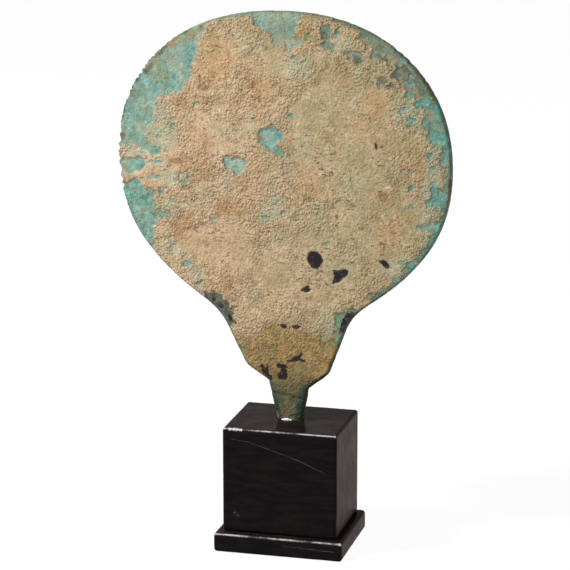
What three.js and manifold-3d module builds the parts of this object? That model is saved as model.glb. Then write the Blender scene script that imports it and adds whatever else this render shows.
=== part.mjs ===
// Etruscan bronze hand mirror, held upright in the slot of a black lacquered wooden stand.
//
// Frame: millimetres, +X to the right, +Y to the back, +Z up. The mirror shows its crusted side towards -Y.
// The origin lies on the underside of the base plate, straight below where the tang enters the block.
// The mirror is drawn flat: x across it, y up from the top of the block, z towards the shown side.

import * as THREE from 'three';
import { RoundedBoxGeometry } from 'three/addons/geometries/RoundedBoxGeometry.js';
import { mergeVertices } from 'three/addons/utils/BufferGeometryUtils.js';
import Module from 'manifold-3d';

// ---- Driving dimensions, in millimetres ----

const BASE_PLATE = { width: 56.4, depth: 46.6, thickness: 8.5, edgeRadius: 1.5, centreY: -0.9 };
const BLOCK = { width: 50, depth: 41, height: 46.2, edgeRadius: 1.3 };
const BLOCK_TOP = BASE_PLATE.thickness + BLOCK.height;

// The disc is a superellipse, wider than it is high. The mirror leans a little to the left in its slot,
// and is turned a little about the vertical, its right side forwards.
const DISC = { halfWidth: 74.5, halfHeight: 63.5, exponent: 2.18, centreY: 111.9 };
const MIRROR = { thickness: 3.6, edgeRound: 1.1, leanDeg: 2.1, turnDeg: -5.9 };

// The shown side swells a little. The back is sunk inside a flat rim.
const DOME = { rise: 1.3, reach: 0.94 };
const BACK_RIM = { width: 5, sink: 0.7, slope: 0.6 };

// The tang is thicker than the rest, up to a low step above the block, and tapers down inside the block.
const TANG = { entryHalfWidth: 5.4, tipHalfWidth: 2.4, depthInBlock: 30, tipRound: 1.6, thickness: 4.6 };
const TANG_STEP = { bottom: 10.8, top: 14 };
const SLOT_CLEARANCE = 0.35;

// The neck, as [distance from the axis, height above the block]. Its right shoulder is lower than its left.
// The handles are the lengths of the control arms of the curve from the neck out to the disc.
const NECK = { handles: [13.9, 25.9], joinHeight: 72, shoulderRound: 2.2 };
const LEFT = { root: [9.3, 16.9], shoulder: [19.1, 23.3], neck: [27.0, 40] };
const RIGHT = { root: [8.5, 13.75], shoulder: [17.8, 20.5], neck: [26.1, 40] };

// A dried bead of adhesive lies on the block in front of the tang's foot.
const BEAD = { halfLength: 2.8, halfDepth: 0.6, height: 1.0, gapToTang: 0.3, centreX: -0.7 };

const DISC_SEGMENTS = 110;
const FLARE_SEGMENTS = 14;
const CORNER_SEGMENTS = 4;
const BEVEL_SEGMENTS = 3;
const BOX_SEGMENTS = 3;
const DOME_RINGS = 7;
const DOME_SECTORS = 60;
const BEAD_RINGS = 5;
const BEAD_SECTORS = 20;
const TANGENT_STEP = 0.01;
const CUT_MARGIN = 2;

// ---- Materials ----

const crustedBronze = new THREE.MeshStandardMaterial({ color: '#ab9876', roughness: 0.9, metalness: 0.1 });
const blackLacquer = new THREE.MeshStandardMaterial({ color: '#1d191a', roughness: 0.25, metalness: 0 });
const driedAdhesive = new THREE.MeshStandardMaterial({ color: '#cfc9cb', roughness: 0.5, metalness: 0 });

// ---- Joining and cutting of closed meshes ----

const wasm = await Module();
wasm.setup();

const WELD_DISTANCE = 1e-4;

function toSolid(geometry) {
  const positionsOnly = geometry.clone();
  positionsOnly.deleteAttribute('normal');
  positionsOnly.deleteAttribute('uv');
  const welded = mergeVertices(positionsOnly, WELD_DISTANCE);
  return new wasm.Manifold(new wasm.Mesh({
    numProp: 3,
    vertProperties: welded.attributes.position.array,
    triVerts: new Uint32Array(welded.index.array),
  }));
}

function toGeometry(solid) {
  const mesh = solid.getMesh();
  const geometry = new THREE.BufferGeometry();
  geometry.setAttribute('position', new THREE.BufferAttribute(mesh.vertProperties, 3));
  geometry.setIndex(new THREE.BufferAttribute(mesh.triVerts, 1));
  geometry.computeVertexNormals();
  return geometry;
}

// An outline as a slab centred on z = 0, with both faces' edges rounded inwards.
function slab(outline, thickness, edgeRound) {
  const geometry = new THREE.ExtrudeGeometry(new THREE.Shape(outline), {
    depth: thickness - 2 * edgeRound,
    steps: 1,
    bevelEnabled: edgeRound > 0,
    bevelThickness: edgeRound,
    bevelSize: edgeRound,
    bevelOffset: -edgeRound,
    bevelSegments: BEVEL_SEGMENTS,
  });
  geometry.translate(0, 0, edgeRound - thickness / 2);
  return geometry;
}

// ---- The mirror's outline ----

function discPoint(angle, inset = 0, scale = 1) {
  const power = 2 / DISC.exponent;
  const cos = Math.cos(angle);
  const sin = Math.sin(angle);
  return new THREE.Vector2(
    scale * (DISC.halfWidth - inset) * Math.sign(cos) * Math.abs(cos) ** power,
    DISC.centreY + scale * (DISC.halfHeight - inset) * Math.sign(sin) * Math.abs(sin) ** power,
  );
}

// How far below the level of the disc's centre the neck's curve joins the disc, as the superellipse's angle.
const JOIN_ANGLE = Math.asin(((DISC.centreY - NECK.joinHeight) / DISC.halfHeight) ** (DISC.exponent / 2));

function roundedCorner(before, corner, after, reach) {
  const start = before.clone().sub(corner).setLength(reach).add(corner);
  const end = after.clone().sub(corner).setLength(reach).add(corner);
  return new THREE.QuadraticBezierCurve(start, corner, end).getPoints(CORNER_SEGMENTS);
}

// One side from the tang's tip up to the disc. side is +1 for the right and -1 for the left.
function neckSide({ root, shoulder, neck }, side) {
  const place = (across, up) => new THREE.Vector2(side * across, up);
  const tip = place(TANG.tipHalfWidth, -TANG.depthInBlock);
  const otherTip = place(-TANG.tipHalfWidth, -TANG.depthInBlock);
  const entry = place(TANG.entryHalfWidth, 0);
  const rootPoint = place(...root);
  const shoulderPoint = place(...shoulder);
  const neckTop = place(...neck);

  const joinAngle = side > 0 ? -JOIN_ANGLE : Math.PI + JOIN_ANGLE;
  const join = discPoint(joinAngle);
  const alongNeck = neckTop.clone().sub(shoulderPoint).setLength(NECK.handles[0]);
  const alongDisc = discPoint(joinAngle + side * TANGENT_STEP).sub(join).setLength(NECK.handles[1]);
  const flare = new THREE.CubicBezierCurve(
    neckTop,
    neckTop.clone().add(alongNeck),
    join.clone().sub(alongDisc),
    join,
  );
  return [
    ...roundedCorner(otherTip, tip, entry, TANG.tipRound),
    entry,
    rootPoint,
    ...roundedCorner(rootPoint, shoulderPoint, neckTop, NECK.shoulderRound),
    ...flare.getPoints(FLARE_SEGMENTS),
  ];
}

function mirrorOutline() {
  const overTheTop = [];
  const sweep = Math.PI + 2 * JOIN_ANGLE;
  for (let i = 1; i < DISC_SEGMENTS; i++) {
    overTheTop.push(discPoint(-JOIN_ANGLE + (sweep * i) / DISC_SEGMENTS));
  }
  return [...neckSide(RIGHT, 1), ...overTheTop, ...neckSide(LEFT, -1).reverse()];
}

// ---- The mirror's solid ----

// The swelling of the shown side: a shallow cap that follows the disc's outline.
function domeCap() {
  const base = MIRROR.thickness / 2;
  const profile = [new THREE.Vector2(0, 0), new THREE.Vector2(DOME.reach, 0)];
  for (let i = 0; i <= DOME_RINGS; i++) {
    const radius = DOME.reach * (1 - i / DOME_RINGS);
    const height = base + DOME.rise * (1 - (radius / DOME.reach) ** 2);
    profile.push(new THREE.Vector2(radius, height));
  }
  const cap = new THREE.LatheGeometry(profile, DOME_SECTORS);
  const position = cap.attributes.position;
  for (let i = 0; i < position.count; i++) {
    const angle = Math.atan2(position.getZ(i), position.getX(i));
    const radius = Math.hypot(position.getX(i), position.getZ(i));
    const spot = discPoint(-angle, 0, radius);
    position.setXYZ(i, spot.x, spot.y, position.getY(i));
  }
  return cap;
}

// What is taken away from the back inside the rim, with sloping walls.
function backHollow() {
  const rimInside = [];
  for (let i = 0; i < DISC_SEGMENTS; i++) {
    rimInside.push(discPoint((2 * Math.PI * i) / DISC_SEGMENTS, BACK_RIM.width));
  }
  const hollow = slab(rimInside, 2 * BACK_RIM.sink, BACK_RIM.slope);
  return hollow.translate(0, 0, -MIRROR.thickness / 2);
}

// The space below a roof-shaped step, which ends the thicker part of the tang.
function belowTangStep() {
  const bottom = -TANG.depthInBlock - CUT_MARGIN;
  const half = TANG.thickness / 2 + CUT_MARGIN;
  const run = TANG_STEP.top - TANG_STEP.bottom;
  const eaves = TANG_STEP.top - (run * half) / (TANG.thickness / 2);
  const sideView = [
    new THREE.Vector2(-half, bottom),
    new THREE.Vector2(half, bottom),
    new THREE.Vector2(half, eaves),
    new THREE.Vector2(0, TANG_STEP.top),
    new THREE.Vector2(-half, eaves),
  ];
  return slab(sideView, 2 * DISC.halfWidth, 0).rotateY(Math.PI / 2);
}

function mirrorGeometry() {
  const outline = mirrorOutline();
  const plate = toSolid(slab(outline, MIRROR.thickness, MIRROR.edgeRound));
  const thickPlate = toSolid(slab(outline, TANG.thickness, MIRROR.edgeRound));
  const tang = thickPlate.intersect(toSolid(belowTangStep()));
  const cast = plate.add(tang).add(toSolid(domeCap()));
  return toGeometry(cast.subtract(toSolid(backHollow())));
}

// ---- The stand's solids ----

const LEAN = THREE.MathUtils.degToRad(MIRROR.leanDeg);
const TURN = THREE.MathUtils.degToRad(MIRROR.turnDeg);

// The mirror's own frame: the flat drawing leaned, stood upright on the block and turned about the vertical.
function makeMirrorFrame() {
  const frame = new THREE.Group();
  frame.position.set(0, 0, BLOCK_TOP);
  frame.rotation.set(Math.PI / 2, TURN, LEAN, 'XYZ');
  frame.updateMatrix();
  return frame;
}

// The space that the tang's slot takes out of the block, drawn flat as the mirror is.
function slotHollow() {
  const taper = (TANG.entryHalfWidth - TANG.tipHalfWidth) / TANG.depthInBlock;
  const bottom = -TANG.depthInBlock - SLOT_CLEARANCE;
  const bottomHalf = TANG.tipHalfWidth + SLOT_CLEARANCE;
  const topHalf = TANG.entryHalfWidth + SLOT_CLEARANCE + taper * CUT_MARGIN;
  const frontView = [
    new THREE.Vector2(-bottomHalf, bottom),
    new THREE.Vector2(bottomHalf, bottom),
    new THREE.Vector2(topHalf, CUT_MARGIN),
    new THREE.Vector2(-topHalf, CUT_MARGIN),
  ];
  return slab(frontView, TANG.thickness + 2 * SLOT_CLEARANCE, 0);
}

function blockGeometry(mirrorFrame) {
  const body = new RoundedBoxGeometry(BLOCK.width, BLOCK.depth, BLOCK.height, BOX_SEGMENTS, BLOCK.edgeRadius);
  body.translate(0, 0, BASE_PLATE.thickness + BLOCK.height / 2);
  const slot = slotHollow().applyMatrix4(mirrorFrame.matrix);
  return toGeometry(toSolid(body).subtract(toSolid(slot)));
}

function basePlateGeometry() {
  const { width, depth, thickness, edgeRadius } = BASE_PLATE;
  return new RoundedBoxGeometry(width, depth, thickness, BOX_SEGMENTS, edgeRadius);
}

// Half an ellipsoid, flat below.
function beadGeometry() {
  const profile = [new THREE.Vector2(0, 0)];
  for (let i = 0; i <= BEAD_RINGS; i++) {
    const angle = (Math.PI / 2) * (i / BEAD_RINGS);
    profile.push(new THREE.Vector2(i < BEAD_RINGS ? Math.cos(angle) : 0, Math.sin(angle)));
  }
  return new THREE.LatheGeometry(profile, BEAD_SECTORS)
    .scale(BEAD.halfLength, BEAD.height, BEAD.halfDepth)
    .rotateX(Math.PI / 2);
}

// ---- The scene graph ----

function named(name, geometry, material) {
  const mesh = new THREE.Mesh(geometry, material);
  mesh.name = name;
  return mesh;
}

const mirrorFrame = makeMirrorFrame();
mirrorFrame.add(named('mirror', mirrorGeometry(), crustedBronze));

const block = named('block', blockGeometry(mirrorFrame), blackLacquer);

const basePlate = named('base_plate', basePlateGeometry(), blackLacquer);
basePlate.position.set(0, BASE_PLATE.centreY, BASE_PLATE.thickness / 2);

const bead = named('adhesive_bead', beadGeometry(), driedAdhesive);
bead.position.set(BEAD.centreX, -TANG.thickness / 2 - BEAD.gapToTang - BEAD.halfDepth, BLOCK_TOP);
const turnedWithTang = new THREE.Group();
turnedWithTang.rotation.z = TURN;
turnedWithTang.add(bead);

const handMirror = new THREE.Group();
handMirror.add(mirrorFrame, block, basePlate, turnedWithTang);

export default handMirror;
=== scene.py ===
"""An Etruscan bronze hand mirror, crusted with earth over green corrosion, upright in a black stand.

Lengths are millimetres unless a name says otherwise, and become metres where a mesh is made. The mirror is
drawn flat, as in the CAD: u across it, v up from the top of the block, w towards the shown side.
"""

import math

import bpy
import numpy as np
from mathutils import Matrix, Vector, geometry


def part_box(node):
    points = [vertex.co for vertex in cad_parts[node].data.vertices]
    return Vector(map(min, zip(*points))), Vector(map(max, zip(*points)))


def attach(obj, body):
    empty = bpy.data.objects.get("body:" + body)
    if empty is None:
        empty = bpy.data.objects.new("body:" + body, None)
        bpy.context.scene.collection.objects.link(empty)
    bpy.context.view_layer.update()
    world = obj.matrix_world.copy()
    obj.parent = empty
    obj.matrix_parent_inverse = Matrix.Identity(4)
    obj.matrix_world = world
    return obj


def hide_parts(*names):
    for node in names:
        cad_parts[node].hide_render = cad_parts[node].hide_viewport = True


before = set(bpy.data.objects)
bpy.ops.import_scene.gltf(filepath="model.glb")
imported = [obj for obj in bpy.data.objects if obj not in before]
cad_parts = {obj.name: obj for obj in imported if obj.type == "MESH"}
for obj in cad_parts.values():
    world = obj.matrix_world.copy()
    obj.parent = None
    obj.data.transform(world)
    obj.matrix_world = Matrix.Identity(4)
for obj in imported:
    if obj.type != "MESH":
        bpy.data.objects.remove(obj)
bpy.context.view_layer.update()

MM = 0.001

# ---- Sizes ----

# How the mirror stands in its slot.
LEAN = math.radians(2.1)
TURN = math.radians(-5.9)

# The mirror's outline and section.
DISC_EXPONENT = 2.18
DISC_HALF_HEIGHT = 63.5
EDGE_ROUND = 1.1
PLATE_HALF = 1.8
TANG_HALF = 2.3
TANG_STEP = (10.8, 11.5)
TANG_ENTRY = (5.4, 0)
TANG_FLARE = 0.23
TANG_TIP_HALF = 2.4
TANG_TIP_ROUND = 1.6
DOME_RISE = 1.3
DOME_REACH = 0.94
BACK_RIM = 5
BACK_SINK = 0.7

# The neck, as (distance from the axis, height): its right shoulder is lower than its left.
LEFT_NECK = {"root": (9.3, 16.9), "shoulder": (19.1, 23.3), "neck": (27.0, 40)}
RIGHT_NECK = {"root": (8.5, 13.75), "shoulder": (17.8, 20.5), "neck": (26.1, 40)}
NECK_HANDLES = (13.9, 25.9)
NECK_JOIN_HEIGHT = 72
SHOULDER_ROUND = 2.2

# How finely the meshes are made.
OUTLINE_STEP = 0.56
FRONT_STEP = 0.57
BACK_STEP = 1.05
EDGE_ANGLES = (90, 62, 33, 0)
EDGE_LIFTS = (1, 0.7, 0.3)
GRID_WOBBLE = 0.12
GRID_CLEAR = 0.45
CORNER_STEPS = 6
NECK_STEPS = 60
DISC_STEPS = 600

# The relief of the surface.
CRUST_THICK = 0.42
CRUST_SWELL = 0.14
BROWN_SINK = 0.25
METAL_GRAIN = 0.07
METAL_SINK = 0.05
RIM_PITS = 0.10
GRAIN_PITCH = 1.15
GRAIN_DEPTH = 1.7

# Heights of the ochre's upper edge and of the dark line across the tang.
OCHRE_TOP = 39.5
CREASE_HEIGHT = 11.2


def metres(points):
    return np.asarray(points, float) * MM


# ---- Places taken from the frame ----

BLOCK_LOW, BLOCK_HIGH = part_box("block")
PLATE_LOW, PLATE_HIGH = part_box("base_plate")
BEAD_LOW, BEAD_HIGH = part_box("adhesive_bead")

# From the flat drawing to the row frame.
STANDING = (
    Matrix.Translation((0, 0, BLOCK_HIGH.z))
    @ Matrix.Rotation(TURN, 4, "Z")
    @ Matrix.Rotation(math.pi / 2, 4, "X")
    @ Matrix.Rotation(LEAN, 4, "Z")
)


def drawn_box(node):
    """The lowest and highest corner of a node in the flat drawing, in millimetres."""
    back = np.array(STANDING.inverted())
    points = np.array([v.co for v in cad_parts[node].data.vertices], float)
    flat = (points @ back[:3, :3].T + back[:3, 3]) / MM
    return flat.min(0), flat.max(0)


DRAWN_LOW, DRAWN_HIGH = drawn_box("mirror")
HALF_WIDTH = DRAWN_HIGH[0]
CENTRE_V = DRAWN_HIGH[1] - DISC_HALF_HEIGHT
TANG_DEPTH = -DRAWN_LOW[1]


# ---- Noise ----

def smoothstep(low, high, value):
    t = np.clip((value - low) / (high - low), 0, 1)
    return t * t * (3 - 2 * t)


def noise(u, v, pitch, seed):
    """Gradient noise from about -1 to 1, with bumps about pitch apart."""
    cells = 256
    angle = np.random.default_rng(seed).uniform(0, 2 * np.pi, (cells, cells))
    x, y = u / pitch + cells / 2, v / pitch + cells / 2
    i, j = np.floor(x).astype(int), np.floor(y).astype(int)
    fx, fy = x - i, y - j

    def pull(di, dj):
        a = angle[(i + di) % cells, (j + dj) % cells]
        return np.cos(a) * (fx - di) + np.sin(a) * (fy - dj)

    sx, sy = (t**3 * (t * (6 * t - 15) + 10) for t in (fx, fy))
    below = pull(0, 0) * (1 - sx) + pull(1, 0) * sx
    above = pull(0, 1) * (1 - sx) + pull(1, 1) * sx
    return 1.5 * (below * (1 - sy) + above * sy)


def fractal(u, v, pitch, seed, octaves=3):
    """Noise on several scales, each half as large and half as strong as the one before."""
    total = np.zeros_like(np.asarray(u, float))
    for k in range(octaves):
        total += noise(u, v, pitch / 2**k, seed + k) / 2**k
    return total


# ---- The mirror's outline ----

def disc_point(angle):
    power = 2 / DISC_EXPONENT
    cos, sin = math.cos(angle), math.sin(angle)
    return Vector((
        HALF_WIDTH * math.copysign(abs(cos) ** power, cos),
        CENTRE_V + DISC_HALF_HEIGHT * math.copysign(abs(sin) ** power, sin),
    ))


JOIN_ANGLE = math.asin(((CENTRE_V - NECK_JOIN_HEIGHT) / DISC_HALF_HEIGHT) ** (DISC_EXPONENT / 2))


def bezier(points, count):
    """Points along a bezier curve, both ends included."""
    made = []
    degree = len(points) - 1
    for step in range(count + 1):
        t = step / count
        weights = [math.comb(degree, k) * t**k * (1 - t) ** (degree - k) for k in range(degree + 1)]
        made.append(sum((p * w for p, w in zip(points, weights)), Vector((0, 0))))
    return made


def rounded_corner(before, corner, after, reach):
    start = corner + (before - corner).normalized() * reach
    end = corner + (after - corner).normalized() * reach
    return bezier([start, corner, end], CORNER_STEPS)


def neck_side(sizes, side):
    """From the tang's tip up to the disc. side is 1 for the right and -1 for the left."""
    def place(across, up):
        return Vector((side * across, up))

    tip, other_tip = place(TANG_TIP_HALF, -TANG_DEPTH), place(-TANG_TIP_HALF, -TANG_DEPTH)
    entry, root = place(*TANG_ENTRY), place(*sizes["root"])
    shoulder, neck = place(*sizes["shoulder"]), place(*sizes["neck"])
    join_angle = -JOIN_ANGLE if side > 0 else math.pi + JOIN_ANGLE
    join = disc_point(join_angle)
    along_disc = (disc_point(join_angle + side * 0.01) - join).normalized() * NECK_HANDLES[1]
    along_neck = (neck - shoulder).normalized() * NECK_HANDLES[0]
    return [
        *rounded_corner(other_tip, tip, entry, TANG_TIP_ROUND),
        entry,
        root,
        *rounded_corner(root, shoulder, neck, SHOULDER_ROUND),
        *bezier([neck, neck + along_neck, join - along_disc, join], NECK_STEPS),
    ]


def mirror_outline():
    """The outline against the clock, with points OUTLINE_STEP apart."""
    sweep = math.pi + 2 * JOIN_ANGLE
    over_the_top = [disc_point(-JOIN_ANGLE + sweep * k / DISC_STEPS) for k in range(1, DISC_STEPS)]
    path = [*neck_side(RIGHT_NECK, 1), *over_the_top, *reversed(neck_side(LEFT_NECK, -1))]
    points = np.array(path)
    closed = np.vstack([points, points[:1]])
    along = np.concatenate([[0], np.cumsum(np.linalg.norm(np.diff(closed, axis=0), axis=1))])
    count = round(along[-1] / OUTLINE_STEP)
    at = np.linspace(0, along[-1], count, endpoint=False)
    return np.stack([np.interp(at, along, closed[:, k]) for k in (0, 1)], axis=1)


def outward_normals(ring):
    along = np.roll(ring, -1, axis=0) - np.roll(ring, 1, axis=0)
    along /= np.linalg.norm(along, axis=1)[:, None]
    return np.stack([along[:, 1], -along[:, 0]], axis=1)


def nick_depth(ring):
    """How far corrosion has eaten into the rim: most on the upper left, a little everywhere."""
    u, v = ring.T
    edge_amount = smoothstep(-40, -62, u) * smoothstep(88, 100, v) * smoothstep(168, 150, v)
    worn_top = smoothstep(30, 45, u) * smoothstep(135, 145, v) * smoothstep(172, 162, v)
    strength = 0.12 + 1.1 * edge_amount + 0.3 * worn_top
    teeth = 1.6 * np.abs(noise(u, v, 2.6, 11)) ** 1.5 + 0.4 * np.abs(noise(u, v, 1.2, 12))
    showing = smoothstep(1, 6, v)
    return strength * np.clip(teeth, 0, 1.6) * showing


# ---- Patches of the surface, in the flat drawing ----

# Where the crust is gone down to green corrosion: (how vivid, how dark, how patchy, outline).
# Some run out over the rim.
GREEN_ZONES = (
    (0.35, 0.15, 0.5, ((-31, 171), (-33, 165), (-36, 163), (-35, 160), (-36, 155), (-38.5, 152), (-39.5, 147),
     (-42, 143.5), (-46, 140), (-52, 139.5), (-54, 138), (-56, 134.5), (-57, 130.5), (-58, 127), (-61, 126),
     (-61.5, 123), (-60, 120), (-58, 117.5), (-54.5, 116), (-55, 113.5), (-58, 113.5), (-63, 115.5),
     (-66, 117.5), (-70, 118), (-73, 116.5), (-90, 116), (-90, 190), (-31, 190))),
    (0.35, 0.25, 0.3, ((-31, 171.5), (-11, 173.8), (-11, 190), (-31, 190))),
    (0.3, 0.05, 0.4, ((-74, 111), (-69, 112), (-62, 112), (-62, 109), (-63, 107), (-68, 105), (-74, 105),
     (-90, 105), (-90, 111))),
    (0.5, 0.1, 0.6, ((-73.5, 101.5), (-63, 102.5), (-63, 100), (-61, 98.5), (-57, 97.5), (-53, 99),
     (-54, 97.5), (-59, 95.5), (-59, 93.5), (-57.5, 91), (-55, 90), (-51, 90), (-50, 88), (-52, 86.5),
     (-56, 86.5), (-57, 84.5), (-59, 82), (-59.5, 78), (-60, 74), (-61, 60), (-90, 60), (-90, 101))),
    (0.1, 0, 0, ((-25, 113.5), (-24, 114), (-21, 113), (-18, 114), (-15, 112.5), (-14.3, 110.5), (-16, 108.5),
     (-19, 105.8), (-21, 107.5), (-24.5, 110))),
    (0.5, 0.05, 0.45, ((-8, 124.5), (-6, 126.5), (-3, 127), (0, 126), (2.5, 124), (1.5, 121.5), (0, 121),
     (-1, 119.5), (0.5, 117.5), (3, 116), (0, 115.5), (-3, 116.5), (-5, 118), (-7.5, 119.5), (-8, 122))),
    (0.15, 0.4, 0.7, ((-10.5, 190), (-10.5, 173), (-9, 169), (-7, 167), (-2, 166), (-1.5, 163), (0, 161.5),
     (4, 162), (5, 159.5), (7, 158.5), (8.5, 161), (11, 162), (10, 164), (8, 165), (9, 170), (10.5, 172),
     (11, 174.5), (11, 190))),
    (0.35, 0.8, 0.7, ((20, 169), (22, 170), (24, 169), (24, 167), (27, 166.5), (25.5, 164.5), (24, 165.5),
     (24, 163), (26, 161), (25, 158.5), (22, 159.5), (20, 161), (21, 164))),
    (0.2, 1, 0.6, ((30, 158), (33, 159.5), (36, 159), (40, 160), (38, 157), (38.5, 154.5), (36, 153.5),
     (33, 156))),
    (0.2, 1, 0.6, ((44, 147.5), (46, 149), (48, 147.5), (47, 145.5), (51, 146), (49, 144.5), (45, 144.5))),
    (0.3, 0.95, 1.6, ((24, 174), (30, 171), (36, 168), (37, 164), (40, 161.5), (43, 160.5), (43.5, 157.5),
     (46, 155), (49, 153.5), (52, 152), (50.5, 149.5), (53, 148), (54, 145.5), (57, 144.5), (60, 141),
     (62, 140), (90, 140), (90, 190), (24, 190))),
    (0.8, 0.35, 1.2, ((60, 141), (62, 140), (62, 136.5), (64, 134), (62, 131), (62, 129.5), (64, 128),
     (64.5, 125), (67, 122.5), (70, 121), (70.5, 118), (69.5, 116), (71, 113.5), (73, 112.5), (73.5, 105),
     (90, 105), (90, 142))),
    (0.65, 0.4, 1, ((66, 104), (68, 106), (69, 103), (72, 103), (74, 101), (90, 100), (90, 96), (72, 96),
     (68, 95), (65, 97), (66, 100))),
    (0.55, 0.3, 0.8, ((60, 87), (63, 87.5), (65, 89.5), (69, 89), (90, 88), (90, 70), (62, 74), (67, 84),
     (66, 84))),
    (0.55, 0.45, 0.5, ((73, 112), (71, 99), (69.5, 90), (63.5, 80), (57, 70.5), (48, 62), (36, 54.4),
     (60, 45), (90, 70), (90, 112))),
    (0.45, 0.5, 0.8, ((47, 60.5), (49, 64), (52, 66), (54, 68), (58, 69), (70, 69), (60, 50))),
    (0.4, 0.4, 0.6, ((22.5, 40), (21.3, 35), (24, 34), (30, 40), (40, 50), (30.5, 50), (27, 50), (23.5, 47.5),
     (21.8, 43.5))),
    (0, 2, 0.6, ((-37, 54), (-33, 54), (-29, 54.5), (-27, 50), (-24.5, 47), (-24, 42), (-26, 37), (-30, 38),
     (-36, 48))),
    (0.8, 0.3, 0.3, ((-28, 42), (-25.6, 40.5), (-22.6, 33), (-19.4, 26.6), (-17.6, 23), (-22, 20),
     (-31, 38))),
)

# Small places where it is gone: (u, v, length, height, turn in degrees, how vivid, how dark).
# They are shallower than the zones, with an edge of their own softness.
SPOT_SINK = 0.3
SPOT_SOFT = 0.7
GREEN_SPOTS = (
    (-58, 104, 5, 2, 0, 0.3, 0.1), (-48, 126.5, 2, 1.4, 20, 0.3, 0.1), (-24, 123, 2, 1.6, 0, 0.2, 0),
    (-36.5, 136, 3, 2, 0, 0.2, 0.2), (-44, 102.3, 3.4, 1.6, 0, 0.3, 0.1),
    (-41.4, 104.4, 1.3, 3, 10, 0.3, 0.1), (-46, 104, 1.3, 2.2, -15, 0.3, 0.1),
    (-37, 107, 1.5, 1.5, 0, 0.2, 0.1), (-31, 86.5, 3, 2.2, 15, 0.2, 0.1), (-44, 66.5, 4, 3, 0, 0.1, 0),
    (-39, 58.5, 3, 2, 20, 0, 0.4), (-57, 110.5, 9, 1.2, 4, 0.2, 0.1), (6.5, 132, 3, 2.5, 0, 0.7, 0.1),
    (1, 91, 2, 1.5, 0, 0.6, 0.3), (-7, 88.5, 3, 1.5, 10, 0.6, 0.3), (20, 78, 3, 1.5, 0, 0.2, 0.1),
    (7.5, 156.5, 3, 1.5, 15, 0.5, 0.2), (12.5, 157, 2, 1.5, 0, 0.5, 0.3), (14, 165, 2.5, 3, 0, 0.3, 0.4),
    (12.5, 149.5, 1.6, 1.2, 0, 0.4, 0.1), (24, 160, 1.6, 2.2, 0, 0.9, 0), (25.2, 166, 2, 1.5, 0, 0.9, 0),
    (57.8, 142, 4.2, 3, 10, 1, 0), (58, 131.5, 3, 2, -20, 1, 0), (57, 128.5, 2.5, 1.5, 0, 1, 0),
    (53.5, 134, 1.5, 1.5, 0, 0.8, 0), (55.5, 136, 2.5, 2, 0, 0.4, 0), (60, 126, 1.5, 1.5, 0, 0.9, 0),
    (56, 70.5, 4, 2.5, 30, 0.9, 0.1), (65.5, 117, 2.5, 2, 0, 0.7, 0.2), (68, 112, 3, 2, 0, 0.4, 0.3),
    (67, 105, 3, 2.4, 0, 0.5, 0.3), (54, 110, 1.6, 1.4, 0, 0.5, 0.1), (58, 109, 2, 1.6, 0, 0.1, 0),
    (57.5, 103, 3, 2, 0, 0.5, 0.2), (57.5, 95, 3, 2, 0, 0.5, 0.2), (52, 71.5, 2, 2, 0, 0.4, 0.3),
    (37, 56, 3, 2, 30, 0.4, 0.4), (17, 31, 2, 2, 0, 0.4, 0.5), (16, 37, 3, 2.4, 0, 0.3, 0.5),
    (61, 137.5, 2.5, 3, 0, 1, 0),
)

# Spots as (u, v, length, height, turn). The darkest green, mostly along the rim.
DARK_BITES = (
    (-58.5, 150.5, 6, 2.4, 45), (-64, 146, 4.4, 2.4, 50), (-67.5, 141, 6, 1.8, 60), (-71.3, 132, 6, 2, 78),
    (-72.3, 121, 3.6, 3.4, 0), (-70, 136, 4, 1.4, 70), (-73.8, 114, 1.2, 5, 0), (-33.5, 168.5, 3, 2, 20),
    (-41, 166, 6, 1.3, 25), (-52, 158, 9, 1.7, 40), (-46, 162.8, 7, 1.4, 33), (63, 146, 9, 6, -50),
    (56, 152, 7, 3, -45), (21, 165, 2.6, 6, 0), (35.5, 156, 6, 3.4, -30), (47, 146.5, 6, 2.6, -20),
    (52, 148, 4, 2, -30), (46, 157, 7, 2.4, -35), (73.6, 104, 2, 9, 0),
)

# Where a thin film of crust stains the green.
CRUST_ISLANDS = (
    (-45, 162, 9, 5, 35), (-37, 166, 8, 3.4, 20), (-54, 152, 2.6, 13, 12), (-50, 148, 3, 8, 10),
    (-71, 108, 3.4, 1.8, 0), (-65, 112.6, 5, 1.4, 0), (-60, 85.5, 4, 1.5, 15), (-67, 97, 3, 1.2, 0),
    (-64, 89, 3.2, 2, 20), (46, 159, 3.6, 2.4, -40), (-49, 155, 3, 2, 30), (-60, 141, 2.4, 1.6, 50),
    (55, 150, 2.6, 1.8, -40), (66, 125, 1.8, 3, -10), (-66, 93, 2.4, 1.6, 10), (0, 170, 3, 1.6, 10),
    (64, 131, 1.6, 2.4, 0),
)

# Where the crust is so thin that green shows through it.
HAZES = (
    (-54, 124, 20, 24, 0), (-54, 131, 5, 5, 0), (-41, 130.5, 6, 4, 10), (-47.5, 126, 7, 5, 20),
    (-66, 115, 14, 6, 0), (-53, 123, 6, 6, 0), (-47, 104, 18, 9, 0), (-57, 110, 14, 5, 0),
    (-24, 103, 8, 6, 0), (-2, 80.5, 10, 6, 0), (-5, 90, 14, 10, 20), (-51, 73, 8, 8, 0), (-2, 95, 8, 9, 0),
    (66, 106, 8, 34, 0), (58, 134, 12, 14, -30), (30, 162, 18, 10, -25), (-50, 92, 12, 8, 0),
    (8, 152, 16, 10, 0), (-12, 129, 5, 4, 0), (64, 84, 8, 12, 0), (-38, 160, 12, 10, 50), (50, 70, 16, 8, 35),
    (20, 44, 10, 8, 60), (-40, 62, 12, 8, -50),
)

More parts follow.
